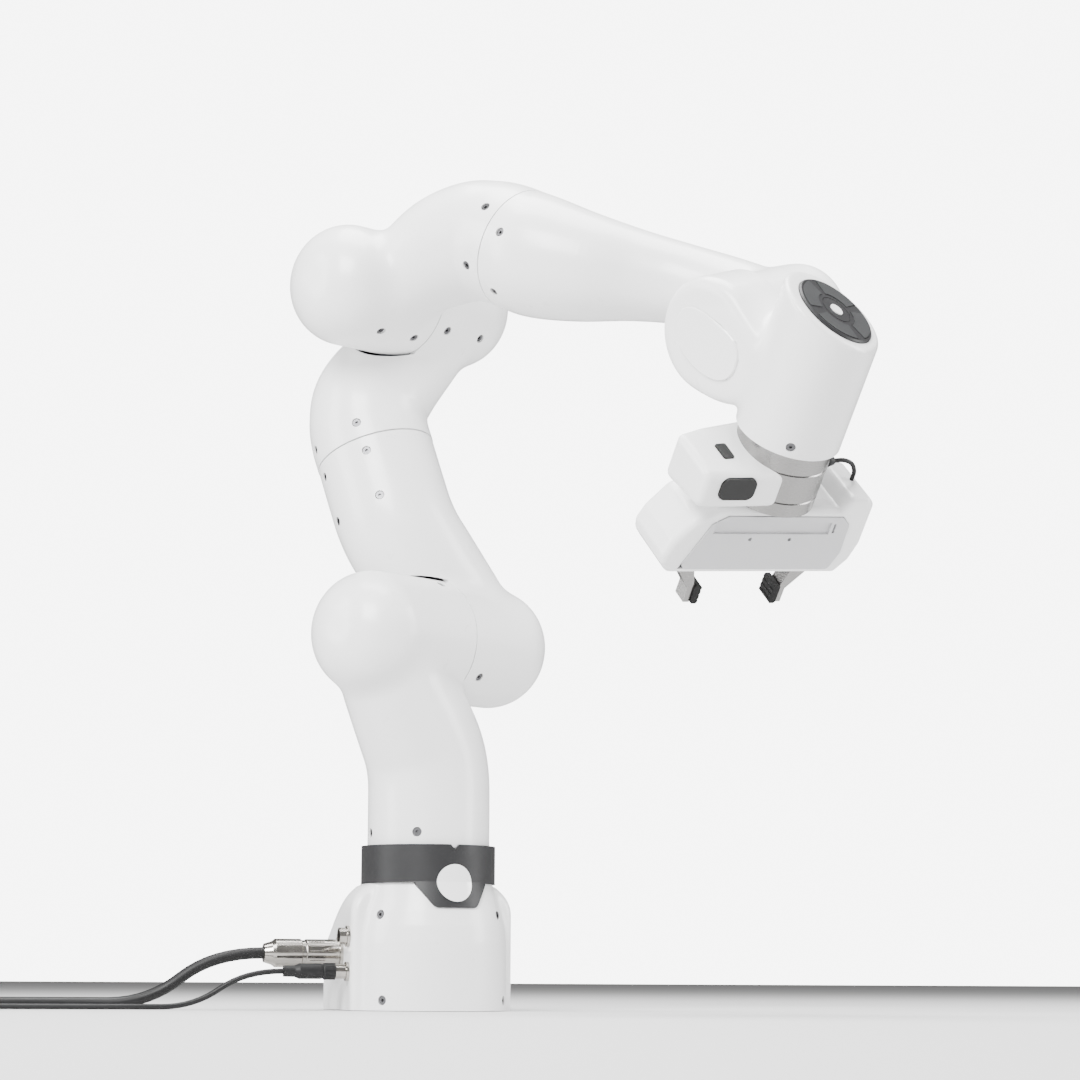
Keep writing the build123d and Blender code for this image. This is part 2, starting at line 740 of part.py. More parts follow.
def wrist_parts(f):
    """Cover, control disc and keys of link 6, flange, grip and buttons of link 7."""
    disc = f[6] * deck_place(0)
    grip = f[7] * Rot(Z=GRIP_TURN)
    parts = {"wrist_cap_plate": f[6] * cap_plate(), "control_disc": disc * control_disc()}
    for k, name in enumerate(("right", "up", "left", "down")):
        parts[f"key_{name}"] = disc * segment_key(k)
    parts["key_centre"] = disc * centre_key()
    parts["tool_flange"] = f[7] * flange()
    parts["grip_housing"] = grip * grip_housing()
    parts["grip_button"] = grip * button_place(0) * grip_button()
    parts["enable_button"] = grip * button_place(1) * enable_button()
    return parts


def hand_parts(hand):
    parts = {
        "hand_housing": hand_housing(), "hand_front_plate": front_plate(), "hand_drive": hand_drive(),
        "hand_lead": hand_lead(), "hand_lead_plug": lead_plug(),
        "finger_left": finger(1), "finger_right": finger(-1),
        "tip_left": fingertip(1), "tip_right": fingertip(-1),
    }
    return {name: hand * part for name, part in parts.items()}


def base_parts():
    service, power, signal = socket_places()
    power_coil = coil(POWER_COIL, POWER_COIL_R, POWER_D, POWER_COIL_HIGH)
    signal_coil = coil(SIGNAL_COIL, SIGNAL_COIL_R, SIGNAL_D, SIGNAL_COIL_HIGH)
    power_cable = tube(route_points(POWER_ROUTE), POWER_D, "power_cable") - power_coil
    signal_cable = tube(route_points(SIGNAL_ROUTE), SIGNAL_D, "signal_cable") - signal_coil
    power_end = far_plug_place(POWER_COIL, 23, -40, POWER_COIL_HIGH + 9.1)
    signal_end = far_plug_place(SIGNAL_COIL, 12, 19, SIGNAL_COIL_HIGH + 6.1)
    return {
        "base_plate": base_plate(), "base_casing": base_casing(),
        "base_screws": screws(base_screw_places()),
        "collar_band": collar_band(), "badge": badge(),
        "round_sockets": Compound(children=[service * open_socket(), signal * receptacle(2, 8.6)]),
        "power_inlet": power * receptacle(1, 15),
        "power_plug": power * power_plug(), "signal_plug": signal * signal_plug(),
        "power_cable": single(power_cable), "signal_cable": single(signal_cable),
        "power_cable_coil": power_coil, "signal_cable_coil": signal_coil,
        "power_far_plug": power_end * far_plug(9, 46), "signal_far_plug": signal_end * far_plug(6, 30),
    }


frames = joint_frames()
assembly = base_parts() | arm_parts(frames) | wrist_parts(frames) | hand_parts(frames[8])
os.makedirs("parts", exist_ok=True)
for node, shape in assembly.items():
    export_step(shape, f"parts/{node}.step")
print(len(assembly), "nodes written")
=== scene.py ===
import math

import bmesh
import bpy
import numpy as np
import openvdb
from mathutils import Matrix, Vector


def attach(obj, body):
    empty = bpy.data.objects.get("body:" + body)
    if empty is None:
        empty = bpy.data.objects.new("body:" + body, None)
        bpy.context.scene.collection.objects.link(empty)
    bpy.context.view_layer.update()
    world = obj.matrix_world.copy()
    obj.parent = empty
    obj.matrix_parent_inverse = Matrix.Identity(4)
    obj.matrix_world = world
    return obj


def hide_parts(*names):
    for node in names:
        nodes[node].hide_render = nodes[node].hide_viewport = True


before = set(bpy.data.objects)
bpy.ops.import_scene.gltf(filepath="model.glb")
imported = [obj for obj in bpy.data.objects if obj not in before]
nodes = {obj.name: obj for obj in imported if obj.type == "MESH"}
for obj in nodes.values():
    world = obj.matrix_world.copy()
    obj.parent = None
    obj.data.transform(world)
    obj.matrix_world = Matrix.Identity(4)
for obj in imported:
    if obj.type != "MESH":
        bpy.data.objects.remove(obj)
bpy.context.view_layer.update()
MM = 0.001
R_ARM, R_WRIST, WALL, SEAM = 55.5, 46.0, 4.0, 0.15
NECK, ELBOW_NECK, FOREARM_SEAM = 190.0, 125.7, -258.3


# ------------------------------------------------------------------ link frames
def shift(x, y, z):
    return Matrix.Translation((x, y, z))


def turn(axis, degrees):
    return Matrix.Rotation(math.radians(degrees), 4, axis)


REST = (26.0, -21.5, -1.5, -135.7, 18.0, 76.0, 65.0)
STEPS = (
    ((0, 0, 333), 0), ((0, 0, 0), -90), ((0, -316, 0), 90), ((82.5, 0, 0), 90),
    ((-82.5, 384, 0), -90), ((0, 0, 0), 90), ((88, 0, 0), 90))
F = [Matrix.Identity(4)]
for (offset, twist), angle in zip(STEPS, REST):
    F.append(F[-1] @ shift(*offset) @ turn("X", twist) @ turn("Z", angle))
HAND = F[7] @ shift(0, 0, 107) @ turn("Z", -45)
GRIP = F[7] @ turn("Z", 36)


# --------------------------------------------------- distance-field solid shapes
def length(*parts):
    return np.sqrt(sum(p * p for p in parts))


def tube_field(points):
    """Round tube through (x, y, z, radius) points, smoothly interpolated."""
    P = np.array(points, float)
    ends = np.vstack([2 * P[0] - P[1], P, 2 * P[-1] - P[-2]])
    fine = []
    for k in range(1, len(ends) - 2):
        a, b, c, d = ends[k - 1:k + 3]
        for t in np.arange(0, 1, 0.125):
            fine.append(0.5 * (2 * b + (c - a) * t + (2 * a - 5 * b + 4 * c - d) * t ** 2
                               + (3 * b - a - 3 * c + d) * t ** 3))
    fine.append(P[-1])

    def field(X, Y, Z):
        best = None
        for a, b in zip(fine, fine[1:]):
            v = b[:3] - a[:3]
            t = np.clip(((X - a[0]) * v[0] + (Y - a[1]) * v[1] + (Z - a[2]) * v[2]) / (v @ v), 0, 1)
            d = length(X - a[0] - t * v[0], Y - a[1] - t * v[1], Z - a[2] - t * v[2])
            d = d - (a[3] + t * (b[3] - a[3]))
            best = d if best is None else np.minimum(best, d)
        return best
    return field


def drum(u, v, w, r, low, high, edge):
    """Cylinder along w from low to high whose ends are rounded by edge."""
    q = length(u, v) - (r - edge)
    s = np.abs(w - (low + high) / 2) - ((high - low) / 2 - edge)
    return np.minimum(np.maximum(q, s), 0) + length(np.maximum(q, 0), np.maximum(s, 0)) - edge


def soft_union(a, b, k):
    h = np.clip(0.5 + 0.5 * (b - a) / k, 0, 1)
    return b + (a - b) * h - k * h * (1 - h)


def soft_cut(a, b, k):
    return -soft_union(-a, -b, k)


def polygon_field(u, v, corners):
    """Signed distance to a closed polygon in the (u, v) plane."""
    best = None
    inside = np.zeros(u.shape, bool)
    for (x0, y0), (x1, y1) in zip(corners, list(corners[1:]) + [corners[0]]):
        ex, ey = x1 - x0, y1 - y0
        t = np.clip(((u - x0) * ex + (v - y0) * ey) / (ex * ex + ey * ey), 0, 1)
        d = (u - x0 - t * ex) ** 2 + (v - y0 - t * ey) ** 2
        best = d if best is None else np.minimum(best, d)
        if y0 != y1:
            crosses = ((y0 > v) != (y1 > v)) & (u < (x1 - x0) * (v - y0) / (y1 - y0) + x0)
            inside ^= crosses
    return np.where(inside, -1, 1) * np.sqrt(best)


def slab(plan, w, half, edge):
    """Prism of a plan field (already shrunk by edge) with rounded rims."""
    s = np.abs(w) - (half - edge)
    return np.minimum(np.maximum(plan, s), 0) + length(np.maximum(plan, 0), np.maximum(s, 0)) - edge


def skin(field, low, high, step, inset=0.0):
    """Vertices (mm) and faces of the surface where field equals -inset."""
    counts = [int((h - l) / step) + 1 for l, h in zip(low, high)]
    axes = [l + step * np.arange(n) for l, n in zip(low, counts)]
    values = field(*np.meshgrid(*axes, indexing="ij")) + inset
    grid = openvdb.FloatGrid(9.0)
    grid.copyFromArray(np.clip(values / step, -3, 3).astype(np.float32))
    points, _, quads = grid.convertToPolygons(0.0, 0.0)
    return np.array(points) * step + np.array(low), np.array(quads)


def volume(points, quads):
    a, b, c, d = (points[quads[:, k]] for k in range(4))
    return (np.einsum("ij,ij->i", a, np.cross(b, c)) + np.einsum("ij,ij->i", a,
                                                                 np.cross(c, d))).sum() / 6


def shell_mesh(name, field, low, high, step=2.0, wall=WALL, inner_step=4.0):
    """Hollow mesh in millimetres: outer skin plus an inward-facing inner skin."""
    points, quads = skin(field, low, high, step)
    if volume(points, quads) < 0:
        quads = quads[:, ::-1]
    sheets = [(points, quads)]
    if wall:
        points, quads = skin(field, low, high, inner_step, wall)
        if volume(points, quads) > 0:
            quads = quads[:, ::-1]
        sheets.append((points, quads))
    mesh = bpy.data.meshes.new(name)
    all_points = np.vstack([s[0] for s in sheets])
    all_quads = np.vstack([s[1] + (0 if k == 0 else len(sheets[0][0])) for k,
                           s in enumerate(sheets)])
    mesh.from_pydata(all_points.tolist(), [], all_quads.tolist())
    mesh.update()
    return mesh


def add(name, mesh):
    obj = bpy.data.objects.new(name, mesh)
    bpy.context.scene.collection.objects.link(obj)
    return obj


def can_cutter(bm, place, r, low, high, segments=96):
    """Adds a closed cylinder along the place's Z axis."""
    middle = place @ shift(0, 0, (low + high) / 2)
    bmesh.ops.create_cone(bm, cap_ends=True, segments=segments, radius1=r, radius2=r,
                          depth=high - low, matrix=middle)


def prism_cutter(bm, place, outline, low, high):
    """Adds a closed prism of an (x, y) outline along the place's Z axis."""
    rings = [[bm.verts.new(place @ Vector((x, y, z))) for x, y in outline] for z in (low, high)]
    bm.faces.new(rings[0][::-1])
    bm.faces.new(rings[1])
    n = len(outline)
    for k in range(n):
        bm.faces.new((rings[0][k], rings[0][(k + 1) % n], rings[1][(k + 1) % n], rings[1][k]))


def rounded_box(wide, high, r, steps=8):
    corners = []
    for k, (sx, sy) in enumerate(((1, 1), (-1, 1), (-1, -1), (1, -1))):
        for s in range(steps + 1):
            a = math.radians(90 * k + 90 * s / steps)
            corners.append((sx * (wide / 2 - r) + r * math.cos(a),
                            sy * (high / 2 - r) + r * math.sin(a)))
    return corners


def carve(obj, cutters):
    """Cuts every shape drawn by cutters(bm) out of obj's mesh."""
    for draw in cutters:
        bm = bmesh.new()
        draw(bm)
        bmesh.ops.recalc_face_normals(bm, faces=bm.faces)
        mesh = bpy.data.meshes.new("cutter")
        bm.to_mesh(mesh)
        bm.free()
        cutter = add("cutter", mesh)
        step = obj.modifiers.new("cut", "BOOLEAN")
        step.operation = "DIFFERENCE"
        step.solver = "EXACT"
        step.object = cutter
        graph = bpy.context.evaluated_depsgraph_get()
        result = bpy.data.meshes.new_from_object(obj.evaluated_get(graph))
        obj.modifiers.remove(step)
        old = obj.data
        obj.data = result
        bpy.data.meshes.remove(old)
        bpy.data.objects.remove(cutter)
        bpy.data.meshes.remove(mesh)
    return obj


def settle(obj, place, body, angle=32):
    """Scales a white casing to metres, puts it in its link frame and on its body."""
    scale = Matrix.Diagonal((MM, MM, MM, 1))
    obj.data.transform(scale @ place)
    obj.data.polygons.foreach_set("use_smooth", np.ones(len(obj.data.polygons), bool))
    obj.data.set_sharp_from_angle(angle=math.radians(angle))
    obj.data.materials.clear()
    obj.data.materials.append(white)
    obj.data.update()
    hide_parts(obj.name.split(".")[0])
    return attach(obj, body)


def out_place(angle, r, z):
    return turn("Z", angle) @ shift(r, 0, z) @ turn("Y", 90)


def holes(places, r=4.3, depth=8.0):
    def draw(bm):
        for place in places:
            can_cutter(bm, place, r, -depth, 4, 24)
    return draw


# -------------------------------------------------------------------- materials
def new_material(name):
    mat = bpy.data.materials.new(name)
    mat.use_nodes = True
    tree = mat.node_tree
    shader = tree.nodes["Principled BSDF"]
    return mat, tree, shader


def spread(tree, scale, low, high, detail=4.0, stretch=None):
    """Noise in object space mapped to a number between low and high."""
    coord = tree.nodes.new("ShaderNodeTexCoord")
    noise = tree.nodes.new("ShaderNodeTexNoise")
    noise.inputs["Scale"].default_value = scale
    noise.inputs["Detail"].default_value = detail
    if stretch:
        mapping = tree.nodes.new("ShaderNodeMapping")
        mapping.inputs["Scale"].default_value = stretch
        tree.links.new(coord.outputs["Object"], mapping.inputs["Vector"])
        tree.links.new(mapping.outputs["Vector"], noise.inputs["Vector"])
    else:
        tree.links.new(coord.outputs["Object"], noise.inputs["Vector"])
    span = tree.nodes.new("ShaderNodeMapRange")
    span.inputs["From Min"].default_value = 0.3
    span.inputs["From Max"].default_value = 0.7
    span.inputs["To Min"].default_value = low
    span.inputs["To Max"].default_value = high
    tree.links.new(noise.outputs["Fac"], span.inputs["Value"])
    return noise.outputs["Fac"], span.outputs["Result"]


def finish_material(name, colour, rough, metallic=0.0, grain=900.0, bump=0.0004, tint=0.03,
                    coat=0.0, stretch=None, rough_spread=0.06, specular=0.5):
    mat, tree, shader = new_material(name)
    shader.inputs["Metallic"].default_value = metallic
    shader.inputs["Coat Weight"].default_value = coat
    shader.inputs["Coat Roughness"].default_value = 0.12
    shader.inputs["Specular IOR Level"].default_value = specular
    mix = tree.nodes.new("ShaderNodeMix")
    mix.data_type = "RGBA"
    mix.inputs["A"].default_value = (*[c * (1 - tint) for c in colour], 1)
    mix.inputs["B"].default_value = (*[min(1.0, c * (1 + tint)) for c in colour], 1)
    fac, _ = spread(tree, 14.0, 0, 1, 6.0)
    tree.links.new(fac, mix.inputs["Factor"])
    tree.links.new(mix.outputs["Result"], shader.inputs["Base Color"])
    _, roughness = spread(tree, 40.0, max(0.02, rough - rough_spread), rough + rough_spread, 5.0,
                          stretch)
    tree.links.new(roughness, shader.inputs["Roughness"])
    fine, _ = spread(tree, grain, 0, 1, 3.0, stretch)
    lift = tree.nodes.new("ShaderNodeBump")
    lift.inputs["Strength"].default_value = 0.35
    lift.inputs["Distance"].default_value = bump
    tree.links.new(fine, lift.inputs["Height"])
    tree.links.new(lift.outputs["Normal"], shader.inputs["Normal"])
    return mat


white = finish_material("white_paint", (0.84, 0.84, 0.84), 0.33, grain=1400, bump=0.00006,
                        tint=0.008, coat=0.25)
cover = finish_material("white_gloss", (0.86, 0.86, 0.86), 0.16, grain=500, bump=0.00002,
                        tint=0.006, coat=0.5)
dark = finish_material("dark_grey", (0.017, 0.017, 0.018), 0.45, grain=2600, bump=0.00010,
                       tint=0.06, specular=0.3)
keys = finish_material("key_grey", (0.032, 0.033, 0.034), 0.42, grain=2600, bump=0.00008, tint=0.05,
                       specular=0.3)
black = finish_material("black_button", (0.005, 0.005, 0.005), 0.38, grain=1800, bump=0.00008,
                        tint=0.1, specular=0.3)
moulding = finish_material("black_moulding", (0.007, 0.007, 0.0075), 0.5, grain=1500, bump=0.00012,
                           tint=0.1, specular=0.3)
jacket = finish_material("cable_jacket", (0.007, 0.007, 0.0075), 0.48, grain=1200, bump=0.00010,
                         tint=0.12, specular=0.3)
rubber = finish_material("fingertip_rubber", (0.005, 0.005, 0.005), 0.62, grain=1100, bump=0.0002,
                         tint=0.12, specular=0.25)
brushed = finish_material("brushed_aluminium", (0.27, 0.265, 0.26), 0.24, 1.0, grain=260,
                          bump=0.00006,
                          tint=0.04, stretch=(3, 3, 60))
turned_steel = finish_material("drive_steel", (0.30, 0.31, 0.33), 0.4, 1.0, grain=700, bump=0.0001)
drive_alu = finish_material("drive_aluminium", (0.45, 0.46, 0.48), 0.42, 1.0, grain=700,
                            bump=0.0001)
screw = finish_material("screw_zinc", (0.12, 0.12, 0.125), 0.36, 1.0, grain=1500, bump=0.0001)
nickel = finish_material("nickel", (0.42, 0.40, 0.37), 0.20, 1.0, grain=900, bump=0.00004,
                         tint=0.05)
plate_grey = finish_material("plate_grey", (0.50, 0.50, 0.51), 0.38, grain=1500, bump=0.00008,
                             tint=0.02)


# ---------------------------------------------------------------- link casings
def shoulder_field(X, Y, Z):
    neck = tube_field([
        (0, 0, -235, 55.0), (0, 0, -190, 55.0), (0, 0, -150, 55.0), (0, -1, -124, 54.9),
        (0, -7, -102, 54.4), (0, -20, -80, 53.2), (0, -36, -58, 50.5), (0, -50, -36, 48.5),
        (0, -60, -14, 46.0)])(X, Y, Z)
    barrel = drum(X, Z, -Y, R_ARM, -8, 128, 46)
    low = drum(X, Z, -Y, R_ARM, -8, 90, 7)
    return soft_union(neck, np.minimum(barrel, low), 9)


def elbow_field(X, Y, Z):
    neck = tube_field([
        (0, 0, -170, 55.5), (0, 0, -126, 55.5), (0, 0, -108, 55.5), (2, 1, -92, 55.3),
        (8, 6, -72, 54.5), (24, 18, -54, 51.5), (48, 34, -40, 44.0), (78, 48, -24, 38.0)])(X, Y, Z)
    barrel = drum(X - 82.5, Z, Y, R_ARM, -8, 118, 46)
    low = drum(X - 82.5, Z, Y, R_ARM, -8, 80, 7)
    return soft_union(neck, np.minimum(barrel, low), 11)


def forearm_field(X, Y, Z):
    z = FOREARM_SEAM
    arm = tube_field([
        (0, 0, z - 45, 55.5), (0, 0, z, 55.5), (0, 1, z + 25, 55.2), (0, 14, z + 62, 49.5),
        (0, 40, z + 104, 41.0), (0, 62, z + 146, 36.0), (0, 74, z + 190, 34.5),
        (0, 78, z + 240, 34.0)])(X, Y, Z)
    end = np.minimum(drum(X, Z, Y, R_WRIST, 8, 114, 28), drum(X, Z, Y, R_WRIST, 8, 90, 5))
    return soft_union(arm, end, 12)


CAP_OUTLINE = [
    (-31, 4), (-25, 16), (-8, 21), (14, 20), (34, 15), (42, 2), (38, -18), (22, -27), (0, -27),
    (-22, -18)]
DECK_N = Vector((0.25, 0.94, -0.20)).normalized()
DECK_P = Vector((90, 72, -1))


def wrist_field(X, Y, Z):
    cheek = soft_union(drum(X, Y, Z, 51.0, -26, 38, 12), drum(X - 24, Y + 4, Z, 43.0, -26, 38, 12),
                       8)
    housing = drum(X - 88, Z, Y, R_WRIST, -60, 130, 3)
    bridge = tube_field([(20, 2, 4, 34), (60, 4, 2, 38)])(X, Y, Z)
    arm = soft_cut(soft_union(cheek, bridge, 16), Z - 38, 4)
    body = soft_union(arm, housing, 7)
    deck = (X - DECK_P.x) * DECK_N.x + (Y - DECK_P.y) * DECK_N.y + (Z - DECK_P.z) * DECK_N.z
    return soft_cut(body, deck, 5)


def seam_places(r, z):
    return [out_place(a, r, z) for a in (60, 120, 240, 300)]


def shoulder_screws():
    barrel = [turn("X", 90) @ p for p in seam_places(R_ARM, 18)]
    return seam_places(R_ARM, -NECK + 14) + seam_places(R_ARM, -130)[:2] + [barrel[0], barrel[3]]


def elbow_screws():
    barrel = [shift(82.5, 0, 0) @ turn("X", -90) @ p for z in (17, 62) for p in seam_places(R_ARM,
                                                                                            z)]
    return seam_places(R_ARM, -ELBOW_NECK + 15) + barrel[:2] + barrel[4:6]


def inset(corners, e):
    """Polygon (counter-clockwise) moved inwards by e."""
    moved = []
    n = len(corners)
    for k in range(n):
        p, q, s = (Vector(corners[(k + j - 1) % n]) for j in range(3))
        a, b = (q - p).normalized(), (s - q).normalized()
        na, nb = Vector((-a.y, a.x)), Vector((-b.y, b.x))
        miter = (na + nb) / (1 + na.dot(nb))
        moved.append(tuple(q + miter * e))
    return moved


def shoulder_piece(name, place, body):
    obj = add(name, shell_mesh(name, shoulder_field, (-66, -140, -206), (66, 70, 66)))
    carve(obj, [
        lambda bm: can_cutter(bm, Matrix.Identity(4), 90, -260, -NECK + 0.5),
        lambda bm: can_cutter(bm, turn("X", -90), R_ARM + 2.5, -SEAM - 0.5, 120),
        holes(shoulder_screws())])
    return settle(obj, place, body)


def elbow_piece(name, place, body):
    obj = add(name, shell_mesh(name, elbow_field, (-66, -66, -146), (150, 130, 66)))
    carve(obj, [
        lambda bm: can_cutter(bm, Matrix.Identity(4), 90, -240, -ELBOW_NECK + 0.5),
        lambda bm: can_cutter(bm, shift(82.5, 0, 0) @ turn("X", 90), R_ARM + 2.5, -SEAM - 0.5, 120),
        holes(elbow_screws())])
    return settle(obj, place, body)


shoulder_piece("link1_casing", F[1], "link_1")
shoulder_piece("link2_casing", F[2] @ turn("X", -90), "link_2")
elbow_piece("link3_casing", F[3], "link_3")
elbow_piece("link4_casing", F[4] @ turn("X", 90) @ shift(-82.5, 0, 0), "link_4")

forearm = add("link5_casing", shell_mesh("link5_casing", forearm_field, (-66, -66, -280),
                                         (66, 126, 60)))
carve(forearm, [
    lambda bm: can_cutter(bm, Matrix.Identity(4), 90, -330, FOREARM_SEAM + 0.8),
    lambda bm: can_cutter(bm, turn("X", 90), 70, -16.7, 40),
    holes(seam_places(R_ARM, FOREARM_SEAM + 17))])
settle(forearm, F[5], "link_5")

wrist = add("link6_casing", shell_mesh("link6_casing", wrist_field, (-60, -72, -56), (142, 110, 66),
                                       1.6))
deck_x = Vector((1, -0.26, 0))
deck_x = (deck_x - DECK_N * deck_x.dot(DECK_N)).normalized()
deck_y = DECK_N.cross(deck_x)
DECK = Matrix((
    (deck_x.x, deck_y.x, DECK_N.x, DECK_P.x), (deck_x.y, deck_y.y, DECK_N.y, DECK_P.y),
    (deck_x.z, deck_y.z, DECK_N.z, DECK_P.z), (0, 0, 0, 1)))
rim = shift(88, 0, 0) @ turn("X", 90)
carve(wrist, [
    lambda bm: can_cutter(bm, Matrix.Identity(4), R_WRIST + 9, -90, -15.3),
    lambda bm: can_cutter(bm, rim, 80, 46.6, 120),
    lambda bm: can_cutter(bm, DECK, 37.3, -14, 20),
    lambda bm: prism_cutter(bm, Matrix.Identity(4), inset(CAP_OUTLINE[::-1], -0.5), 37.4, 60),
    holes([rim @ out_place(a, R_WRIST, 37) for a in (-42, 48, 150)])])
settle(wrist, F[6], "link_6")


# ------------------------------------------------------------------------- base
WALL_AT = 75.0
WALL_N = Vector((math.cos(math.radians(-100)), math.sin(math.radians(-100)), 0))
WALL_ALONG = Vector((-WALL_N.y, WALL_N.x, 0))


def wall_point(out, along, height):
    p = WALL_N * (WALL_AT + out) + WALL_ALONG * along
    return Vector((p.x, p.y, height))


def socket_place(along, height):
    return (Matrix.Translation(wall_point(0, along, height))
            @ Vector((0, 0, 1)).rotation_difference(WALL_N).to_matrix().to_4x4())


def base_field(X, Y, Z):
    r = length(X, Y)
    front = polygon_field(r, Z, [
        (-5, -30), (71, -30), (71, 0), (70.6, 60), (69.2, 74), (66.0, 88), (61.5, 100), (58.4, 109),
        (57, 118), (57, 160), (-5, 160)])
    crown = polygon_field(r, Z, [
        (-5, -30), (139, -30), (139, 4), (137, 34), (125, 59), (102, 77), (81, 95), (64, 110),
        (52, 113), (-5, 113)])
    rear = crown
    for nx, ny, at in ((WALL_N.x, WALL_N.y, 75), (WALL_N.x, -WALL_N.y, 75), (-0.7135, -0.7006, 123),
                       (-0.7135, 0.7006, 123), (-1, 0, 137), (1, 0, 16)):
        rear = soft_cut(rear, nx * X + ny * Y - at, 9)
    return soft_union(front, rear, 5)


base = add("base_casing", shell_mesh("base_casing", base_field, (-145, -86, -8), (80, 86, 150)))
carve(base, [
    lambda bm: can_cutter(bm, Matrix.Identity(4), 250, -40, 0),
    lambda bm: can_cutter(bm, Matrix.Identity(4), 250, 138, 200),
    lambda bm: [can_cutter(bm, socket_place(a, h), r, -16, 10, 48)
                for a, h, r in ((13, 65, 8), (-22, 50, 13), (12, 34, 7))],
    holes([out_place(a, 67.6, 84) for a in (-62, 46, 118, -118)]
          + [out_place(a, 71, 9) for a in (-57, 51)])])
settle(base, Matrix.Identity(4), "base")


# --------------------------------------------------------------- grip and hand
GRIP_OUTLINE = [(12, -26), (20, -36), (66, -31), (96, -26), (96, 26), (66, 33), (20, 38), (10, 26)]
HAND_OUTLINE = [
    (60, 0), (80, 12), (95, 34), (100, 48), (98, 57), (90, 66), (-76, 66), (-87, 52),
    (-92, 34), (-92, -6), (-86, -12), (-68, -12), (-60, 0)]
PLATE_OUTLINE = [(50, 6), (63, 14), (82, 60), (-66, 60), (-73, 42), (-72, 14), (-64, 6)]


def grip_field(X, Y, Z):
    plan = polygon_field(X, Y, inset(GRIP_OUTLINE, 8))
    top = (55.2 + (33 - Y) * math.tan(math.radians(9)) - Z) * math.cos(math.radians(9))
    return soft_cut(slab(plan, Z - 77.75, 22.75, 8), top, 7)


def hand_field(X, Y, Z):
    plan = polygon_field(Y, Z, inset(HAND_OUTLINE, 6))
    return slab(plan, X, 31, 6)


grip = add("grip_housing", shell_mesh("grip_housing", grip_field, (0, -46, 48), (104, 48, 108), 1.5,
                                      3.0, 3.0))
BUTTON = shift(64, -31.3, 79) @ turn("Z", 8) @ turn("X", 90)
ENABLE = shift(64.5, -2, 60.5) @ turn("X", 171)
carve(grip, [
    lambda bm: can_cutter(bm, Matrix.Identity(4), 41.7, 40, 120),
    lambda bm: prism_cutter(bm, BUTTON, rounded_box(34.8, 21.8, 7.4), -8, 9),
    lambda bm: prism_cutter(bm, ENABLE, rounded_box(11.8, 18.3, 2.4), -8, 8)])
settle(grip, GRIP, "link_7")

SIDEWAYS = Matrix(((0, 0, 1, 0), (1, 0, 0, 0), (0, 1, 0, 0), (0, 0, 0, 1)))
hand = add("hand_housing", shell_mesh("hand_housing", hand_field, (-37, -106, -20), (37, 114, 74),
                                      1.5, 3.0, 3.0))
carve(hand, [
    lambda bm: prism_cutter(bm, shift(27.2, 0, 0) @ SIDEWAYS, inset(PLATE_OUTLINE, -0.35), 0, 12),
    lambda bm: prism_cutter(bm, shift(0, 42.5, 0), rounded_box(23, 56, 3), 58, 80),
    lambda bm: prism_cutter(bm, shift(0, -42.5, 0), rounded_box(23, 56, 3), 58, 80)])
settle(hand, HAND, "link_7")


# ----------------------------------------------------------------- CAD surfaces
def dress(names, material, bevel=0.0, angle=30):
    for name in names:
        obj = nodes[name]
        obj.data.materials.clear()
        obj.data.materials.append(material)
        obj.data.polygons.foreach_set("use_smooth", np.ones(len(obj.data.polygons), bool))
        obj.data.set_sharp_from_angle(angle=math.radians(angle))
        if bevel:
            edge = obj.modifiers.new("edge", "BEVEL")
            edge.width = bevel * MM
            edge.segments = 3
            edge.limit_method = "ANGLE"
            edge.angle_limit = math.radians(35)
            edge.harden_normals = True


dress(["base_plate", "hand_drive", "finger_left", "finger_right", "tool_flange"], brushed, 0.3)
dress(["base_screws"] + [f"link{k}_screws" for k in range(1, 7)], screw)
dress(["collar_band", "control_disc"], dark, 0.35)
dress(["badge", "wrist_cap_plate", "key_centre"], cover, 0.3)
dress(["key_up", "key_right", "key_down", "key_left"], keys, 0.4)
dress(["grip_button", "enable_button"], black, 0.4)
dress(["round_sockets", "power_inlet", "power_plug"], nickel, 0.2)
dress(["signal_plug", "power_far_plug", "signal_far_plug", "hand_lead_plug"], moulding, 0.3)
dress(["hand_lead"], jacket)
dress(["tip_left", "tip_right"], rubber, 0.4)
dress(["hand_front_plate"], plate_grey, 0.5)
dress([f"joint{k}_drive" for k in range(1, 8)], drive_alu)
dress([f"joint{k}_output" for k in range(1, 7)], turned_steel)


# ------------------------------------------------------------------------- cords
def cord_curve(name, points, diameter, material):
    data = bpy.data.curves.new(name, "CURVE")
    data.dimensions = "3D"
    data.resolution_u = 8
    data.bevel_depth = diameter / 2
    data.bevel_resolution = 5
    data.use_fill_caps = True
    spline = data.splines.new("NURBS")
    spline.points.add(len(points) - 1)
    for slot_point, p in zip(spline.points, points):
        slot_point.co = (p[0], p[1], p[2], 1)
    spline.order_u = 3
    spline.use_endpoint_u = True
    data.materials.append(material)
    obj = bpy.data.objects.new(name, data)
    bpy.context.scene.collection.objects.link(obj)
    return obj


def wound(centre, r, side, turns, pitch, z0, end, r_end):
    """Control points of a helix about a (out, along) centre; side is +1 if it turns to -along."""
    last = 360 * turns
    points = []
    for k in range(int((last - 15) / 30) + 1):
        theta = 15 + 30 * k
        left = last - theta
        grow = 1.0 if left > 100 else (100 - left) / 100
        radius = r * 1.017 if left > 100 else r * 1.017 + (r_end - r * 1.017) * grow
        z = z0 + pitch * theta / 360
        if left < 100:
            z = z + (end[2] - z) * (grow * grow * (3 - 2 * grow))
        a = math.radians(theta)
        points.append(wall_point(centre[0] + radius * math.sin(a),
                                 centre[1] + side * radius * math.cos(a), z))
    return points


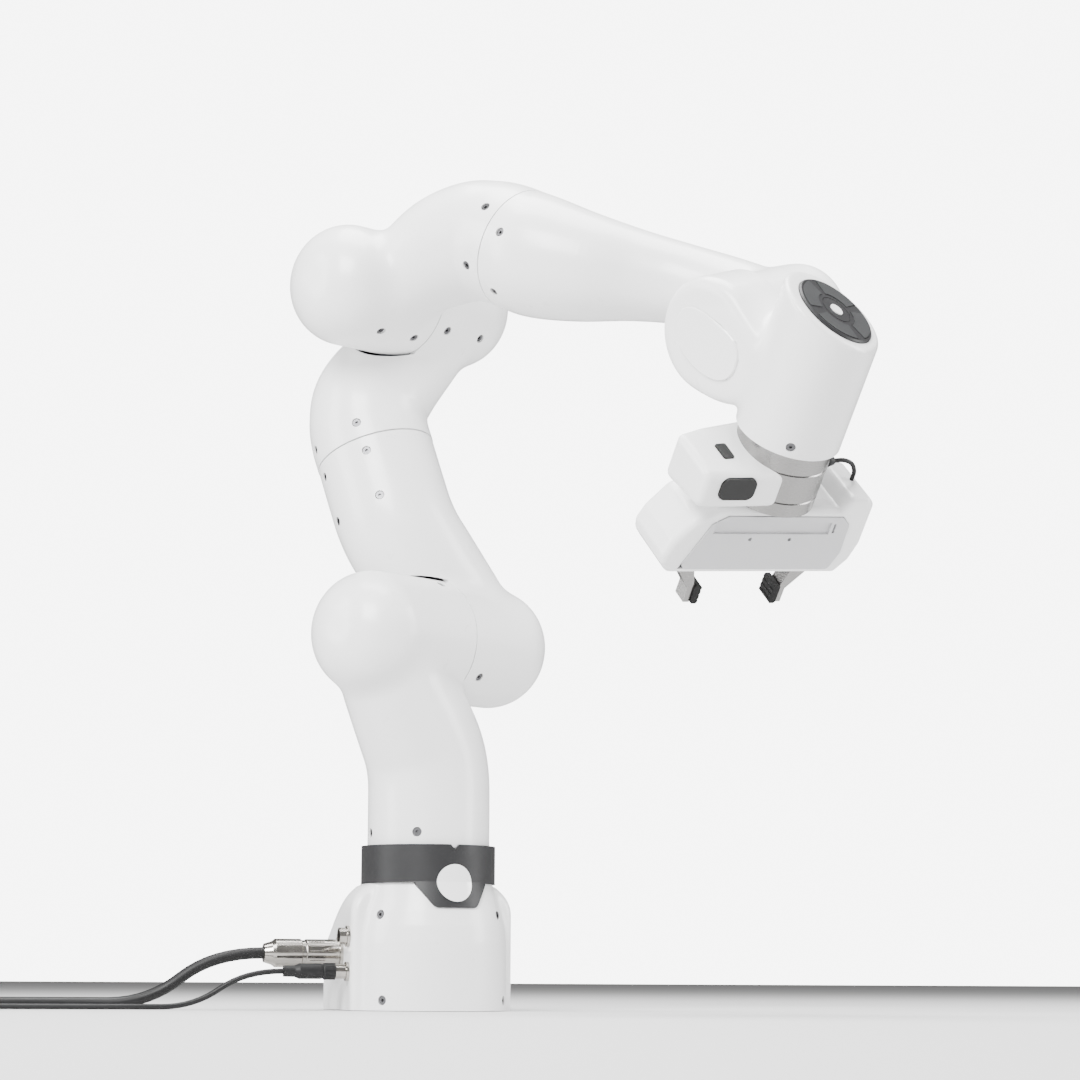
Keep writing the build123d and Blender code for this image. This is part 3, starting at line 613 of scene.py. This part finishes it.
POWER = [(70, -22, 50), (116, -22, 50), (172, -22, 5.35), (244, -27, 5.35), (318, -22, 5.35),
         (380, -22.3, 5.35)]
SIGNAL = [(58, 12, 34), (92, 12, 34), (137, 12, 2.6), (195, 18, 2.6), (256, 14, 2.6),
          (322, 12, 2.6),
          (384, 12.4, 2.6)]
power_end = (411, -119.5, 72.1)
signal_end = (400, 59, 56.1)
power_points = [wall_point(*p) for p in POWER] + wound((388, -79.5), 57, 1, 5.4, 10.6, 5.35,
                                                       power_end, 46)
power_points += [wall_point(power_end[0] + 9, power_end[1] - 0.2, power_end[2] - 0.3),
                 wall_point(*power_end)]
signal_points = [wall_point(*p) for p in SIGNAL] + wound((388, 40), 27.5, -1, 9.38, 5.05, 2.6,
                                                         signal_end, 22.5)
signal_points += [wall_point(signal_end[0] + 5, signal_end[1] + 0.1, signal_end[2] - 0.2),
                  wall_point(*signal_end)]
power_cord = cord_curve("power_cord", [p * MM for p in power_points], 0.0105, jacket)
signal_cord = cord_curve("signal_cord", [p * MM for p in signal_points], 0.005, jacket)
for obj, replaced in ((power_cord, ("power_cable", "power_cable_coil")),
                      (signal_cord, ("signal_cable", "signal_cable_coil"))):
    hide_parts(*replaced)
    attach(obj, "base")


# ------------------------------------------------------------- stage and camera
floor_mat, _, floor_shader = new_material("floor")
floor_shader.inputs["Base Color"].default_value = (0.62, 0.62, 0.62, 1)
floor_shader.inputs["Roughness"].default_value = 0.8
bm = bmesh.new()
bmesh.ops.create_grid(bm, x_segments=4, y_segments=4, size=12)
floor_mesh = bpy.data.meshes.new("floor")
bm.to_mesh(floor_mesh)
bm.free()
floor = add("floor", floor_mesh)
floor.location = (0, 0, -0.0005)
floor.data.materials.append(floor_mat)

world = bpy.data.worlds.new("studio")
bpy.context.scene.world = world
world.use_nodes = True
soft = world.node_tree.nodes["Background"]
soft.inputs["Color"].default_value = (1, 1, 1, 1)
soft.inputs["Strength"].default_value = 0.3
backdrop = world.node_tree.nodes.new("ShaderNodeBackground")
backdrop.inputs["Strength"].default_value = 9.0
ray = world.node_tree.nodes.new("ShaderNodeLightPath")
choose = world.node_tree.nodes.new("ShaderNodeMixShader")
world.node_tree.links.new(ray.outputs["Is Camera Ray"], choose.inputs["Fac"])
world.node_tree.links.new(soft.outputs["Background"], choose.inputs[1])
world.node_tree.links.new(backdrop.outputs["Background"], choose.inputs[2])
world.node_tree.links.new(choose.outputs["Shader"],
                          world.node_tree.nodes["World Output"].inputs["Surface"])


def area_light(name, position, target, size, power):
    data = bpy.data.lights.new(name, "AREA")
    data.shape = "RECTANGLE"
    data.size, data.size_y = size
    data.energy = power
    obj = bpy.data.objects.new(name, data)
    bpy.context.scene.collection.objects.link(obj)
    obj.location = position
    obj.rotation_euler = (Vector(target) - Vector(position)).to_track_quat("-Z", "Y").to_euler()
    return obj


lights = [
    area_light("front", (2.0, -1.9, 2.0), (0.1, 0, 0.45), (1.5, 1.5), 240),
    area_light("left", (-0.3, -2.2, 1.1), (0.1, 0, 0.45), (0.8, 1.8), 60),
    area_light("right", (1.2, 2.1, 1.1), (0.1, 0.1, 0.4), (0.8, 1.8), 70),
    area_light("top", (0.0, 0.1, 2.6), (0.1, 0, 0.4), (1.6, 1.6), 150),
]

camera_data = bpy.data.cameras.new("camera")
camera_data.sensor_width = 36
camera_data.lens = 102.5
camera = bpy.data.objects.new("camera", camera_data)
bpy.context.scene.collection.objects.link(camera)
right = Vector((0.42828, 0.90363, 0.00552))
up = Vector((0.12505, -0.06531, 0.98999))
back = Vector((0.89495, -0.42330, -0.14097))
camera.matrix_world = Matrix((
    (right.x, up.x, back.x, 2.5636), (right.y, up.y, back.y, -1.1027),
    (right.z, up.z, back.z, 0.0293), (0, 0, 0, 1)))
bpy.context.scene.camera = camera
